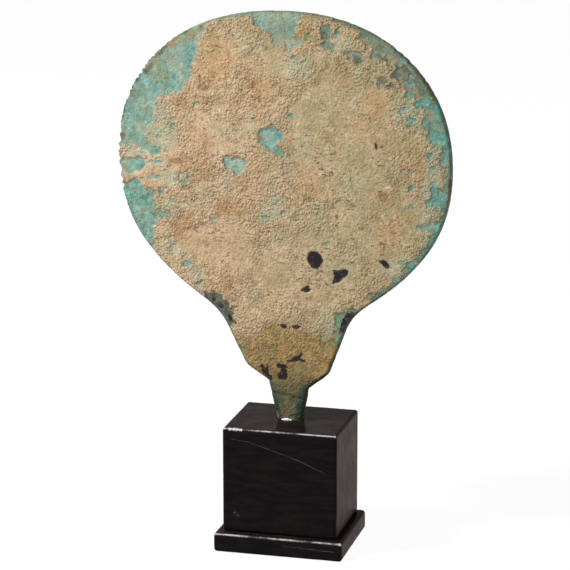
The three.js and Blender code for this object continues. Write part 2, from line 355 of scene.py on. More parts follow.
# Where the crust is finer and smoother than elsewhere.
FINER = (
    (-27, 127, 36, 24, 0), (-60, 112, 28, 34, 0), (28, 124, 54, 56, 0), (8, 66, 50, 34, 0),
    (42, 88, 40, 44, 0), (-28, 74, 40, 26, 0), (0, 150, 26, 20, 0), (-25, 156, 16, 20, 0),
)

# Where the crust is warmer, more orange.
WARM = (
    (61, 112, 11, 15, 0), (43, 137, 12, 15, 20), (36, 163, 18, 8, -28), (-28, 154, 18, 27, 5),
    (-40, 108, 24, 12, 0), (-24, 92, 20, 10, 10), (41, 100, 12, 5, 0), (-45, 84, 12, 16, 30),
    (12, 166, 10, 12, 0), (48, 86, 14, 12, 30), (-10, 142, 14, 10, 0),
)

# Smooth black places: outlines and spots.
BLACK_ZONES = (
    ((12, 74.5), (15, 74.8), (17.5, 72.5), (18, 70.5), (16.5, 68.5), (15.5, 67), (13, 67.5), (11.5, 69.5),
     (10.5, 71), (11.5, 73)),
    ((22.3, 66.9), (24.6, 66.6), (27, 67.5), (29.2, 66.8), (28.4, 64.8), (26.2, 63.4), (24.4, 61.4),
     (21.6, 60.8), (22.4, 63.2)),
    ((-12.5, 21), (-11.7, 24), (-11, 22), (-9.5, 22.5), (-9, 24), (-8.5, 20), (-8, 17), (-9, 17.5),
     (-10, 18.5)),
    ((24.5, 40), (23.5, 39), (24.5, 43), (25.5, 46), (28, 48.5), (30.5, 49), (31, 46), (27.5, 40)),
    ((8, 14.6), (10, 16.3), (14, 19.2), (17.6, 21.8), (19.5, 21), (9, 12)),
)
BLACK_SPOTS = (
    (45, 70.3, 4.8, 2.6, -35), (10, 57.6, 4.6, 1.8, 8), (10.5, 58.8, 2, 1.3, 0), (-1, 41, 2.7, 1.9, 0),
    (4.8, 41.1, 3.9, 1.6, 0), (4.3, 27, 3.8, 2.2, 10), (1.8, 26, 5.2, 1.1, 8), (7, 26.5, 3.2, 1, -8),
    (5.8, 28.4, 2.8, 1.3, 50), (-2.6, 23.4, 4.8, 2.1, -6), (-1.8, 21.6, 3.2, 2.8, -30),
    (-2.4, 19.1, 5, 3.4, 5), (-8.3, 18, 1.9, 2.8, 0), (-11.6, 22.6, 1.4, 3.2, 10),
    (-25.4, 43.4, 1.8, 3.6, 20), (-29.5, 48.6, 2.4, 2, 30), (-33, 51.4, 2.6, 1.4, -30),
    (42.7, 119.8, 0.8, 2.8, 4), (-19.6, 23.4, 1.4, 1, 0),
)

# Brown pits and short cracks in the crust, and three thin lines of painted shadow along the top left edges of
# two green patches, at (-24.8, 112), (-20, 114.2) and (-8.6, 123).
BROWN_PITS_AND_SHADOW_LINES = (
    (-65, 112.5, 2.2, 0.8, 0), (45.5, 78.5, 0.7, 5, -10), (-8, 139, 2.2, 1.8, 0), (24.5, 116.5, 2.4, 2, 0),
    (13, 97, 2.4, 1.8, 0), (32, 94.5, 2.4, 2, 0), (45.5, 99, 4.5, 4, 30), (-24.8, 112, 0.8, 3.4, 15),
    (-20, 114.2, 7.5, 0.8, -3), (-8.6, 123, 0.8, 4, 0), (-55, 99.3, 3, 0.5, 0), (10, 21, 6, 0.5, -52),
    (-33, 143, 5, 3, 0), (-47, 111, 7, 2.5, 0), (-43, 100, 6, 2, 0),
)


# A white speck at the foot of the tang.
WHITE_FLECK = (-5.7, 1.6, 1.4, 2.6, 0)

# The depth that a point has before any place is found near it.
FAR_OUTSIDE = -50.0


def polygon_depth(u, v, outline):
    """How far inside the outline each point lies: below 0 outside."""
    corners = np.array(outline, float)
    nearest = np.full(u.shape, np.inf)
    inside = np.zeros(u.shape, bool)
    for (au, av), (bu, bv) in zip(corners, np.roll(corners, -1, axis=0)):
        du, dv = bu - au, bv - av
        t = np.clip(((u - au) * du + (v - av) * dv) / (du * du + dv * dv), 0, 1)
        nearest = np.minimum(nearest, np.hypot(u - au - t * du, v - av - t * dv))
        crosses = (av > v) != (bv > v)
        if dv:
            inside ^= crosses & (u < au + (v - av) * du / dv)
    return np.where(inside, nearest, -nearest)


def spot_depth(u, v, spot):
    """The same for an ellipse given as (u, v, length, height, turn)."""
    centre_u, centre_v, length, height, turn = spot
    cos, sin = math.cos(math.radians(turn)), math.sin(math.radians(turn))
    across = ((u - centre_u) * cos + (v - centre_v) * sin) / (length / 2)
    up = ((v - centre_v) * cos - (u - centre_u) * sin) / (height / 2)
    reach = np.hypot(across, up)
    return (1 - reach) * np.sqrt(length * height) / 2


def deepest(u, v, spots, zones=()):
    depth = np.full(u.shape, FAR_OUTSIDE)
    for outline in zones:
        depth = np.maximum(depth, polygon_depth(u, v, outline))
    for spot in spots:
        depth = np.maximum(depth, spot_depth(u, v, spot))
    return depth


def softened(u, v, spots, pitch, seed):
    """0 to 1 over spots with wide, wavering edges."""
    return smoothstep(-0.6, 1.2, deepest(u, v, spots) / 4 + 0.5 * noise(u, v, pitch, seed))


def green_fields(u, v):
    """Depth inside the green places; how vivid, dark and deeply sunk they are; how soft their edge is."""
    torn = 1.3 * noise(u, v, 5, 63) + 1.1 * noise(u, v, 2.4, 64)
    frayed = 0.8 * noise(u, v, 1.8, 65)
    found = []
    for vivid, dark, patchy, outline in GREEN_ZONES:
        own = polygon_depth(u, v, outline) + patchy * torn
        found.append((own, (vivid, dark, 1 - 0.3 * patchy, 0.5 + patchy)))
    for *spot, vivid, dark in GREEN_SPOTS:
        own = 1.3 * spot_depth(u, v, spot) - 0.15 + frayed
        found.append((own, (vivid, dark, SPOT_SINK, SPOT_SOFT)))
    depth = np.full(u.shape, FAR_OUTSIDE)
    fields = np.ones((4, *u.shape))
    for own, values in found:
        here = own > depth
        depth = np.where(here, own, depth)
        fields = np.where(here, np.array(values)[:, None], fields)
    return depth, *fields


class Surface:
    """What the shown side is like at each point of the flat drawing."""

    def __init__(self, u, v):
        self.find_corrosion(u, v)
        self.find_marks(u, v)
        self.find_neck(u, v)
        self.find_grain(u, v)

    def find_corrosion(self, u, v):
        """Where the crust is gone, stained or thin, and what the green is like there."""
        depth, vivid, dark, sink, soft = green_fields(u, v)
        ragged = 0.40 * noise(u, v, 3.4, 21) + 0.45 * noise(u, v, 1.5, 22)
        self.bare = np.clip((depth + ragged) / soft, -6, 4)
        self.hollow = sink * smoothstep(-1.0, 0.8, self.bare)
        islands = deepest(u, v, CRUST_ISLANDS) + 0.9 * noise(u, v, 2.2, 23)
        self.island = smoothstep(-0.6, 1.0, islands)
        self.haze = softened(u, v, HAZES, 6, 24)
        self.vivid = np.clip(vivid + 0.30 * noise(u, v, 7, 26) + 0.2 * noise(u, v, 2.5, 27), 0, 1)
        dark = np.clip(dark + 0.30 * noise(u, v, 9, 28) + 0.25 * noise(u, v, 3, 29), 0, 1.4)
        bites = deepest(u, v, DARK_BITES) + 0.8 * noise(u, v, 1.8, 30)
        self.dark = np.maximum(dark, 1.15 * smoothstep(-0.7, 0.4, bites))

    def find_marks(self, u, v):
        """Black, warm and brown places, and the white speck."""
        black = deepest(u, v, BLACK_SPOTS, BLACK_ZONES)
        self.black = np.clip(black + 0.22 * noise(u, v, 1.4, 31), -3, 3)
        self.warm = softened(u, v, WARM, 7, 32)
        brown = deepest(u, v, BROWN_PITS_AND_SHADOW_LINES) + 0.4 * noise(u, v, 1.6, 33)
        self.brown = smoothstep(-0.8, 0.6, brown)
        fleck = spot_depth(u, v, WHITE_FLECK) + 0.3 * noise(u, v, 1.1, 40)
        self.fleck = smoothstep(-0.3, 0.2, fleck)

    def find_neck(self, u, v):
        """How the colours change across the disc and down the neck and tang."""
        # Towards the right the crust turns olive and darker, the darkening partly painted shade; it turns
        # olive towards the top as well.
        self.olive = smoothstep(-45, 60, u + 0.7 * np.maximum(v - 138, 0) + 14 * noise(u, v, 26, 35))
        bend = OCHRE_TOP + 1.5 * np.cos(u / 7) - 3 * smoothstep(-8, -16, u) + 2.5 * noise(u, v, 9, 34)
        # The ochre down the neck is darker than the crust, partly as painted shade.
        self.ochre = smoothstep(3.5, -3.5, v - bend)
        self.neck = 0.8 * smoothstep(66, 54, v)
        self.low = smoothstep(26, 13, v + 2 * noise(u, v, 6, 38))
        self.tang = smoothstep(18.5, 11.5, v + 0.8 * noise(u, v, 3, 36))
        to_edge = TANG_ENTRY[0] + TANG_FLARE * v - np.abs(u + 0.3) + 0.7 * noise(u, v, 2.5, 37)
        self.side = smoothstep(3.9, 1.9, to_edge)
        above_crease = v - CREASE_HEIGHT + 0.09 * u + 0.5 * noise(u, v, 3, 39)
        self.crease = np.exp(-((above_crease / 0.75) ** 2)) * smoothstep(1, 7, v)

    def find_grain(self, u, v):
        """The crust's lumps, the pits between them, and how strong they are."""
        self.lumps = 0.35 * noise(u, v, 4.2, 41) + 0.12 * noise(u, v, 2.1, 42) + 0.34 * noise(u, v, 1.2, 44)
        self.pit = smoothstep(0.4, -0.5, self.lumps)
        finer = smoothstep(-0.6, 1.2, deepest(u, v, FINER) / 6)
        uneven = 0.8 * noise(u, v, 14, 47) + 0.6 * noise(u, v, 5, 48)
        self.grain = smoothstep(-0.8, 0.8, 0.5 + uneven - 1.1 * finer)

    def relief(self, u, v):
        """The crust's thickness and lumps, and the smoother hollows where it is gone."""
        gone = np.maximum(self.hollow, smoothstep(-0.3, 0.25, self.black))
        crust = CRUST_THICK + (0.05 + 0.27 * self.grain) * self.lumps + CRUST_SWELL * fractal(u, v, 12, 43)
        crust -= BROWN_SINK * self.brown
        metal = METAL_GRAIN * (noise(u, v, 4, 45) + noise(u, v, 1.5, 46)) - METAL_SINK
        smoother = 1 - 0.6 * self.ochre
        return (crust * (1 - gone) + metal * gone) * smoother * smoothstep(-1, 5, v)


# ---- The mirror's mesh ----

def half_thickness(v):
    return TANG_HALF + (PLATE_HALF - TANG_HALF) * smoothstep(*TANG_STEP, v)


def disc_reach(u, v, inset=0):
    """0 at the disc's centre and 1 at its edge, or at an edge that lies inset inside it."""
    across = np.abs(u) / (HALF_WIDTH - inset)
    up = np.abs(v - CENTRE_V) / (DISC_HALF_HEIGHT - inset)
    return (across**DISC_EXPONENT + up**DISC_EXPONENT) ** (1 / DISC_EXPONENT)


def front_height(u, v, surface):
    dome = DOME_RISE * np.clip(1 - (disc_reach(u, v) / DOME_REACH) ** 2, 0, None)
    return half_thickness(v) + dome + surface.relief(u, v)


def back_height(u, v):
    into_hollow = (1 - disc_reach(u, v, BACK_RIM)) * DISC_HALF_HEIGHT
    hollow = BACK_SINK * smoothstep(-0.6, 1.2, into_hollow)
    rough = 0.10 * fractal(u, v, 8, 51) + 0.08 * noise(u, v, 2.4, 52)
    return half_thickness(v) - hollow - np.abs(rough) * smoothstep(-1, 5, v)


def points_inside(ring, step):
    """A staggered grid over the inside of the ring, clear of its own points."""
    low, high = ring.min(0), ring.max(0)
    rows = np.arange(low[1], high[1], step * math.sqrt(3) / 2)
    columns = np.arange(low[0], high[0], step)
    u = np.concatenate([columns + (step / 2 if k % 2 else 0) for k in range(len(rows))])
    v = np.repeat(rows, len(columns))
    wobble = np.random.default_rng(5).uniform(-GRID_WOBBLE, GRID_WOBBLE, (2, len(u))) * step
    u, v = u + wobble[0], v + wobble[1]
    keep = polygon_depth(u, v, ring) > GRID_CLEAR * step
    return np.stack([u[keep], v[keep]], axis=1)


def fill_ring(ring, step):
    """The points inside the ring, and triangles over the ring's points and those."""
    inner = points_inside(ring, step)
    points = [Vector(p) for p in np.vstack([ring, inner])]
    made = geometry.delaunay_2d_cdt(points, [], [list(range(len(ring)))], 1, 1e-7)
    source = [origins[0] for origins in made[3]]
    return inner, [[source[k] for k in face] for face in made[2]]


def edge_rings(outline):
    """Rings round the rim from the front face's edge to the back face's edge."""
    normals = outward_normals(outline)
    nick = nick_depth(outline)
    thickness = half_thickness(outline[:, 1])
    rings = []
    for side in (1, -1):
        for angle in (EDGE_ANGLES if side > 0 else reversed(EDGE_ANGLES)):
            sin = math.sin(math.radians(angle))
            cos = math.cos(math.radians(angle))
            pits = RIM_PITS * np.abs(noise(outline[:, 0] + 3 * side * sin, outline[:, 1], 1.7, 14))
            inset = EDGE_ROUND * (1 - cos) + (nick + pits) * (0.35 + 0.65 * cos)
            flat = outline - normals * inset[:, None]
            height = side * (thickness - EDGE_ROUND * (1 - sin))
            rings.append(np.column_stack([flat, height]))
    return rings


def lift_edge(rings):
    """Raises the first rings to meet the relief of the shown side."""
    u, v, height = rings[0].T
    lift = front_height(u, v, Surface(u, v)) - height
    for ring, share in zip(rings, EDGE_LIFTS):
        ring[:, 2] += lift * share


def ring_strips(rings, count):
    """Quads between each ring of count points and the next."""
    faces = []
    for k in range(rings - 1):
        for i in range(count):
            j = (i + 1) % count
            faces.append((k * count + i, (k + 1) * count + i, (k + 1) * count + j, k * count + j))
    return faces


def renumbered(faces, count, ring_start, inner_start):
    """Faces over a ring of count points and those inside it, with the whole mesh's numbers."""
    return [[k + ring_start if k < count else k - count + inner_start for k in face] for face in faces]


# For each ring from front to back: how much it is rim, painted shade line along the edge, or back.
RING_SHARES = {
    "rim": (0, 0.05, 0.25, 0.8, 1, 1, 0.8, 0.5),
    "edge": (0.2, 0.75, 1, 0.9, 0.5, 0.3, 0.2, 0),
    "behind": (0, 0, 0, 0, 1, 1, 1, 1),
}


def ring_shares(vertices, count, back_start):
    """RING_SHARES at every vertex; the painted shade line along the edge fades along the top and on the
    right.
    """
    rings = len(RING_SHARES["rim"])
    inside = np.zeros(len(vertices) - rings * count)
    shares = {}
    for name, values in RING_SHARES.items():
        shares[name] = np.concatenate([np.repeat(values, count), inside])
    shares["behind"][back_start:] = 1
    u, v = vertices[:, 0], vertices[:, 1]
    shares["edge"] *= 1 - 0.5 * smoothstep(155, 168, v)
    shares["edge"] *= 1 - 0.45 * smoothstep(30, 55, u)
    return shares


def mirror_mesh():
    """Returns the mesh, the surface at its vertices, and the shares that go by ring."""
    rings = edge_rings(mirror_outline())
    count = len(rings[0])
    front_inner, front_faces = fill_ring(rings[0][:, :2], FRONT_STEP)
    back_inner, back_faces = fill_ring(rings[-1][:, :2], BACK_STEP)
    lift_edge(rings)
    u, v = front_inner.T
    front = np.column_stack([front_inner, front_height(u, v, Surface(u, v))])
    back = np.column_stack([back_inner, -back_height(*back_inner.T)])
    vertices = np.vstack([*rings, front, back])

    last_ring = (len(rings) - 1) * count
    front_start = len(rings) * count
    back_start = front_start + len(front)
    faces = ring_strips(len(rings), count)
    faces += renumbered(front_faces, count, 0, front_start)
    faces += renumbered([face[::-1] for face in back_faces], count, last_ring, back_start)

    mesh = new_mesh("mirror_cast", metres(vertices), faces)
    mesh.shade_smooth()
    return mesh, Surface(vertices[:, 0], vertices[:, 1]), ring_shares(vertices, count, back_start)


def set_fields(mesh, **fields):
    for name, values in fields.items():
        mesh.attributes.new(name, "FLOAT", "POINT").data.foreach_set("value", np.asarray(values, np.float32))


# ---- Building shader nodes ----

STUDIO_GAIN = 0.66


def srgb(*tone):
    """A tone as 0 to 255 turned into the linear colour that sockets take."""
    return (*[c / 255 / 12.92 if c <= 10 else ((c / 255 + 0.055) / 1.055) ** 2.4 for c in tone], 1)


def lit(*tone):
    """The colour of a matt surface that looks like this tone under the studio's lights."""
    return (*[c * STUDIO_GAIN for c in srgb(*tone)[:3]], 1)


class Nodes:
    """Adds nodes to a material or world. An input is a value, the name of a field, or a node's output."""

    def __init__(self, owner, coordinates="Object"):
        owner.use_nodes = True
        self.owner = owner
        self.tree = owner.node_tree
        self.place = self.add("ShaderNodeTexCoord", output=coordinates)

    def add(self, kind, output=0, inputs=None, **settings):
        made = self.tree.nodes.new(kind)
        for key, value in settings.items():
            setattr(made, key, value)
        for key, value in (inputs or {}).items():
            self.put(made.inputs[key], value)
        return made.outputs[output]

    def put(self, socket, value):
        if isinstance(value, str):
            value = self.add("ShaderNodeAttribute", output="Fac", attribute_name=value)
        if isinstance(value, bpy.types.NodeSocket):
            self.tree.links.new(value, socket)
        else:
            socket.default_value = value

    def finish(self, shader="Principled BSDF", **values):
        """Sets the shader's sockets and returns the material or world."""
        for key, value in values.items():
            self.put(self.tree.nodes[shader].inputs[key.replace("_", " ")], value)
        return self.owner

    def noise(self, pitch, detail=2.0, rough=0.5, scale=None):
        """Noise from 0 to 1 with bumps about pitch millimetres apart."""
        place = self.place
        if scale:
            place = self.add("ShaderNodeMapping", output="Vector", inputs={"Vector": place, "Scale": scale})
        return self.add("ShaderNodeTexNoise", output="Fac", inputs={
            "Vector": place, "Scale": 1 / (pitch * MM), "Detail": detail, "Roughness": rough})

    def grains(self, pitch):
        """Close-packed domes about pitch millimetres across, from 0 between them to about 1 on top."""
        distance = self.add("ShaderNodeTexVoronoi", output="Distance", feature="SMOOTH_F1", inputs={
            "Vector": self.place, "Scale": 1 / (pitch * MM), "Smoothness": 0.25})
        return self.math("SUBTRACT", 1.0, distance)

    def math(self, operation, a, b=0.0):
        return self.add("ShaderNodeMath", inputs={0: a, 1: b}, operation=operation)

    def times(self, a, b):
        return self.math("MULTIPLY", a, b)

    def plus(self, a, b):
        return self.math("ADD", a, b)

    def step(self, value, low, high, out_low=0.0, out_high=1.0):
        """A smooth step from out_low at low to out_high at high."""
        return self.add("ShaderNodeMapRange", output="Result", interpolation_type="SMOOTHSTEP", inputs={
            "Value": value, "From Min": low, "From Max": high, "To Min": out_low, "To Max": out_high})

    def mix(self, share, a, b):
        made = self.tree.nodes.new("ShaderNodeMix")
        made.data_type = "RGBA"
        self.put(made.inputs["Factor"], share)
        self.put(made.inputs[6], a)
        self.put(made.inputs[7], b)
        return made.outputs[2]

    def blend(self, value, low, high, tone, other):
        """From one tone at low to the other at high."""
        return self.mix(self.step(value, low, high), lit(*tone), lit(*other))

    def tint(self, colour, tone, value, low, high, share=1.0):
        """The colour turned towards the tone, by up to share as the value nears high."""
        return self.mix(self.step(value, low, high, 0, share), colour, lit(*tone))

    def scaled(self, colour, factor):
        """The colour made lighter or darker by a factor."""
        return self.add("ShaderNodeVectorMath", output="Vector", operation="SCALE",
                        inputs={0: colour, "Scale": factor})

    def bump(self, height, depth):
        """A bump whose height of 0 to 1 stands for depth millimetres."""
        return self.add("ShaderNodeBump", output="Normal", inputs={
            "Strength": 1.0, "Distance": depth * MM, "Height": height})


# ---- The bronze ----

def crust_colour(n, coarse, middle, fine):
    """Earth-coloured crust: pinkish tan on the left, olive on the right, ochre on the neck; the darkening
    towards the right and down the neck is partly painted shade.
    """
    left = n.blend(coarse, 0.35, 0.65, (178, 151, 119), (190, 166, 135))
    right = n.blend(coarse, 0.35, 0.65, (151, 139, 103), (166, 151, 118))
    # Olive on the right, darker partly as painted shade.
    tan = n.mix("olive", left, right)
    tan = n.tint(tan, (184, 150, 108), n.noise(18, 3), 0.5, 0.68, 0.45)
    tan = n.tint(tan, (160, 156, 124), n.noise(13, 4, 0.6), 0.5, 0.36, 0.5)
    warm = n.times("warm", n.step(middle, 0.35, 0.6, 0.35, 0.8))
    tan = n.mix(warm, tan, lit(174, 138, 96))
    tan = n.tint(tan, (152, 126, 92), n.noise(11, 4, 0.6), 0.52, 0.7, 0.6)
    tan = n.tint(tan, (132, 102, 72), middle, 0.56, 0.68, 0.55)
    cracks = n.step(n.noise(1.1, 2, scale=(0.5, 1, 1.25)), 0.58, 0.66)
    cracks = n.times(cracks, n.step(coarse, 0.44, 0.58))
    tan = n.mix(n.times(cracks, 0.75), tan, lit(96, 68, 44))
    tan = n.tint(tan, (208, 188, 156), middle, 0.42, 0.32, 0.4)
    ochre = n.blend(middle, 0.4, 0.6, (159, 132, 86), (129, 107, 67))
    ochre = n.tint(ochre, (118, 114, 78), n.noise(9, 2), 0.5, 0.62, 0.5)
    ochre = n.mix(n.times("low", 0.85), ochre, lit(82, 78, 54))
    # Ochre down the neck, darker partly as painted shade.
    colour = n.mix("ochre", tan, ochre)
    # Brown pits and cracks, and thin lines of painted shadow along two green patches' top left edges.
    colour = n.mix(n.times("brown", 0.6), colour, lit(118, 90, 62))
    # Darker in the hollows of the crust's relief and between the bump's grains, lighter on their tops: partly
    # dirt in the hollows, partly painted shade and light.
    colour = n.scaled(colour, n.step("pit", 0, 1, 1.06, 0.90))
    return n.scaled(colour, n.step(fine, 0.3, 0.66, 0.90, 1.10))


def green_colour(n, coarse, middle, fine):
    """Bare corrosion: pale mint to vivid teal, with darker olive green and whitish specks."""
    pale = n.blend(coarse, 0.38, 0.62, (156, 169, 148), (134, 160, 145))
    teal = n.blend(middle, 0.4, 0.6, (114, 167, 156), (93, 142, 129))
    bright = n.blend(coarse, 0.4, 0.6, (52, 152, 144), (80, 148, 132))
    green = n.mix(n.step("vivid", 0, 0.7), pale, teal)
    green = n.mix(n.step("vivid", 0.65, 1), green, bright)
    green = n.mix("neck", green, n.blend(middle, 0.4, 0.6, (104, 148, 116), (76, 118, 92)))
    mottle = n.times("vivid", n.step(n.noise(3, 4, 0.65), 0.48, 0.6))
    green = n.mix(mottle, green, lit(64, 112, 98))
    deep = n.blend(coarse, 0.42, 0.6, (96, 112, 90), (66, 84, 72))
    green = n.mix(n.times("dark", 0.9), green, deep)
    crusted = n.times(n.step("dark", 0.4, 0.9), n.step(n.noise(3.5, 3, 0.6), 0.46, 0.6, 0, 0.75))
    green = n.mix(crusted, green, lit(150, 130, 98))
    green = n.tint(green, (146, 142, 112), n.noise(6, 4, 0.65), 0.5, 0.62, 0.6)
    green = n.tint(green, (116, 150, 150), n.noise(4, 3, 0.6), 0.56, 0.66, 0.5)
    green = n.tint(green, (98, 112, 92), middle, 0.54, 0.66, 0.55)
    green = n.tint(green, (178, 192, 178), middle, 0.36, 0.28, 0.35)
    darkest = n.blend(middle, 0.42, 0.56, (84, 98, 84), (54, 62, 55))
    green = n.mix(n.step("dark", 1.0, 1.25, 0, 0.8), green, darkest)
    # Lighter on the bump's grains and darker between them, as the same noise raises the bump: partly the
    # patina's own speckle, partly painted light and shade.
    return n.scaled(green, n.step(fine, 0.3, 0.7, 0.9, 1.1))


def back_colour(n, middle, fine):
    """The plainer back: even green corrosion under thin patches of the same earth."""
    green = n.blend(n.noise(14, 3), 0.4, 0.6, (122, 136, 110), (100, 122, 102))
    earth = n.blend(middle, 0.4, 0.6, (156, 140, 108), (130, 116, 84))
    covered = n.step(n.plus(n.noise(26, 4, 0.6), n.times(middle, 0.4)), 0.52, 0.80)
    # Lighter on the bump's grains and darker between them, as the same noise raises the bump: partly the
    # patina's own speckle, partly painted light and shade.
    return n.scaled(n.mix(covered, green, earth), n.step(fine, 0.25, 0.75, 0.82, 1.15))


def tang_colour(n):
    """The dark tang, blue-green along its sides."""
    tang = n.blend(n.noise(2.5, 3), 0.42, 0.6, (108, 100, 68), (78, 82, 58))
    side = n.times("side", n.step(n.noise(4, 3), 0.3, 0.6, 0.6, 1))
    return n.mix(side, tang, lit(30, 60, 54))


def rim_colour(n, colour, coarse, middle):
    """The colour, under the rim's own corrosion and a painted shade line along its rounded edge."""
    rim = n.blend(coarse, 0.45, 0.58, (112, 124, 98), (96, 142, 124))
    rim = n.mix("ochre", rim, lit(58, 60, 44))
    colour = n.mix(n.times("rim", n.step(middle, 0.35, 0.6, 0.25, 0.9)), colour, rim)
    # A dark line of painted shade along the rim's rounded edge.
    edge = n.times("edge", n.step(n.noise(5, 3), 0.38, 0.55, 0.3, 0.85))
    return n.mix(edge, colour, lit(52, 58, 46))


def bronze_masks(n, middle, fine):
    """Where the crust is gone and where the surface is black, with frayed edges."""
    ragged = n.plus(n.step(fine, 0.2, 0.8, -0.5, 0.5), n.step(middle, 0.25, 0.75, -0.9, 0.9))
    bare = n.step(n.plus("bare", ragged), -0.8, 0.7)
    frayed = n.plus(n.step(fine, 0.2, 0.8, -0.25, 0.25), n.step(middle, 0.3, 0.7, -0.3, 0.3))
    black = n.step(n.plus("black", frayed), -0.25, 0.25)
    return bare, black


def bronze_colour(n, middle, fine, bare, black):
    coarse = n.noise(7, 3)
    crust = crust_colour(n, coarse, middle, fine)
    veil = n.times("haze", n.step(middle, 0.35, 0.62, 0.15, 0.65))
    crust = n.mix(veil, crust, n.blend(coarse, 0.4, 0.6, (160, 168, 140), (146, 166, 146)))
    green = green_colour(n, coarse, middle, fine)
    stained = n.times("island", n.step(middle, 0.4, 0.56, 0.35, 0.9))
    green = n.mix(stained, green, n.blend(coarse, 0.4, 0.6, (146, 132, 98), (124, 126, 96)))
    colour = n.mix(bare, crust, green)
    colour = n.mix(black, colour, n.blend(middle, 0.5, 0.66, (26, 18, 18), (66, 56, 58)))
    colour = n.mix("tang", colour, tang_colour(n))
    colour = n.mix(n.times("crease", 0.9), colour, lit(40, 46, 38))
    colour = n.mix("fleck", colour, lit(196, 190, 184))
    colour = n.mix("behind", colour, back_colour(n, middle, fine))
    return rim_colour(n, colour, coarse, middle)


def bronze_bumps(n, fine, bare, black):
    """Fine grains, flatter where the crust is gone, where it is finer, and down the neck and tang."""
    grains = n.plus(n.times(fine, 0.55), n.times(n.grains(GRAIN_PITCH), 0.40))
    strength = n.step(n.math("MAXIMUM", black, bare), 0, 1, 1, 0.3)
    for name, low, high in (("grain", 0.34, 1.05), ("ochre", 1, 0.75), ("tang", 1, 0.6)):
        strength = n.times(strength, n.step(name, 0, 1, low, high))
    return n.bump(n.times(grains, strength), GRAIN_DEPTH)


def bronze_material():
    n = Nodes(bpy.data.materials.new("crusted_bronze"))
    middle = n.noise(2.2, 3, 0.6)
    fine = n.noise(0.8, 2.5, 0.6)
    bare, black = bronze_masks(n, middle, fine)
    smooth = n.math("MAXIMUM", black, n.times(bare, 0.35))
    return n.finish(
        Base_Color=bronze_colour(n, middle, fine, bare, black),
        Roughness=n.step(smooth, 0, 1, 0.92, 0.5),
        Specular_IOR_Level=0.2,
        Normal=bronze_bumps(n, fine, bare, black),
    )


def new_mesh(name, vertices, faces):
    mesh = bpy.data.meshes.new(name)
    mesh.from_pydata(np.asarray(vertices).tolist(), [], faces)
    return mesh


def place_piece(name, data):
    piece = bpy.data.objects.new(name, data)
    bpy.context.scene.collection.objects.link(piece)
    return piece


# The parts of a Surface that the material reads.
SURFACE_FIELDS = ("bare", "vivid", "dark", "black", "brown", "ochre", "olive", "tang", "side", "low", "pit",
                  "haze", "grain", "crease", "island", "fleck", "warm", "neck")


def make_mirror():
    mesh, surface, shares = mirror_mesh()
    set_fields(mesh, **{name: getattr(surface, name) for name in SURFACE_FIELDS}, **shares)
    mesh.transform(STANDING)
    mesh.materials.append(bronze_material())
    piece = place_piece("mirror_cast", mesh)
    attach(piece, "root")
    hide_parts("mirror")


# ---- The stand ----

STAND_STEP = 0.7
BLOCK_EDGE = 1.3
PLATE_EDGE = 1.5
EDGE_TANGENTS = (15, 30, 45)

# A fine scratch across each front, as corners (x, z).
BLOCK_SCRATCH = ((-23.4, 50.3), (-13.8, 49.2), (-2.6, 46.0), (8.7, 42.5), (21.1, 37.3))
PLATE_SCRATCH = ((1, 5.4), (10, 5.1), (18, 4.7), (27, 4.6))
SCRATCH_FADE = 4
SCRATCH_HALF = (0.05, 0.2)

# Chips along the block's front top edge, and two nicks lower down: (x, how far behind the front,
# how far below the top, size, how light). A chip pulls its surface in by CHIP_PULL.
BLOCK_CHIPS = (
    (-21.8, 0.4, 0.3, (1.3, 1.1, 1.0), 0.8),
    (-19.4, 0.5, 0.2, (1.8, 1.3, 1.2), 1.0),
    (-17.0, 0.4, 0.4, (1.1, 0.9, 0.9), 0.7),
    (-19.3, 0.0, 37.7, (1.1, 0.5, 0.6), 0.3),
    (-18.5, 0.0, 38.7, (1.1, 0.5, 0.6), 0.3),
)
CHIP_PULL = (0, 0.5, -0.4)

LACQUER_WAVE = 0.07
LACQUER_BUMP = 0.06
LACQUER_IOR = 1.062

SLOT_GAP = 0.25


def axis_stops(half, radius):
    """Where the grid lines lie along one axis, closer together over the rounded edges."""
    flat = half - radius
    count = max(4, round(2 * flat / STAND_STEP))
    middle = np.linspace(-flat, flat, count + 1)
    over_edge = flat + radius * np.tan(np.radians(EDGE_TANGENTS))
    return np.concatenate([-over_edge[::-1], middle, over_edge])


def grid_faces(sizes, vertex):
    """The faces of a gridded box; vertex numbers the vertex at a spot (i, j, k)."""
    faces = []
    for axis in range(3):
        a, b = (axis + 1) % 3, (axis + 2) % 3
        for end in (0, sizes[axis] - 1):
            for i in range(sizes[a] - 1):
                for j in range(sizes[b] - 1):
                    corners = []
                    for di, dj in ((0, 0), (1, 0), (1, 1), (0, 1)):
                        spot = [0, 0, 0]
                        spot[axis], spot[a], spot[b] = end, i + di, j + dj
                        corners.append(vertex(tuple(spot)))
                    faces.append(corners if end else corners[::-1])
    return faces


def rounded_box(low, high, radius):
    """A finely gridded box with rounded edges: vertices in millimetres, faces, and outward normals."""
    centre, half = (high + low) / 2, (high - low) / 2
    stops = [axis_stops(h, radius) for h in half]
    index, vertices = {}, []

    def vertex(spot):
        if spot not in index:
            index[spot] = len(vertices)
            vertices.append([stops[k][spot[k]] for k in range(3)])
        return index[spot]

    faces = grid_faces([len(s) for s in stops], vertex)
    cube = np.array(vertices)
    core = np.clip(cube, -(half - radius), half - radius)
    away = cube - core
    away /= np.linalg.norm(away, axis=1)[:, None]
    return core + radius * away + centre, faces, away


def lacquer_waves(points, away):
    """Small unevenness of hand-sanded wood under lacquer, always inwards."""
    x, y, z = points.T
    wave = np.abs(noise(x + 0.7 * z, y + 0.4 * z, 13, 61)) + 0.5 * np.abs(noise(x - z, y + z, 5, 62))
    return points - away * (LACQUER_WAVE * wave)[:, None]


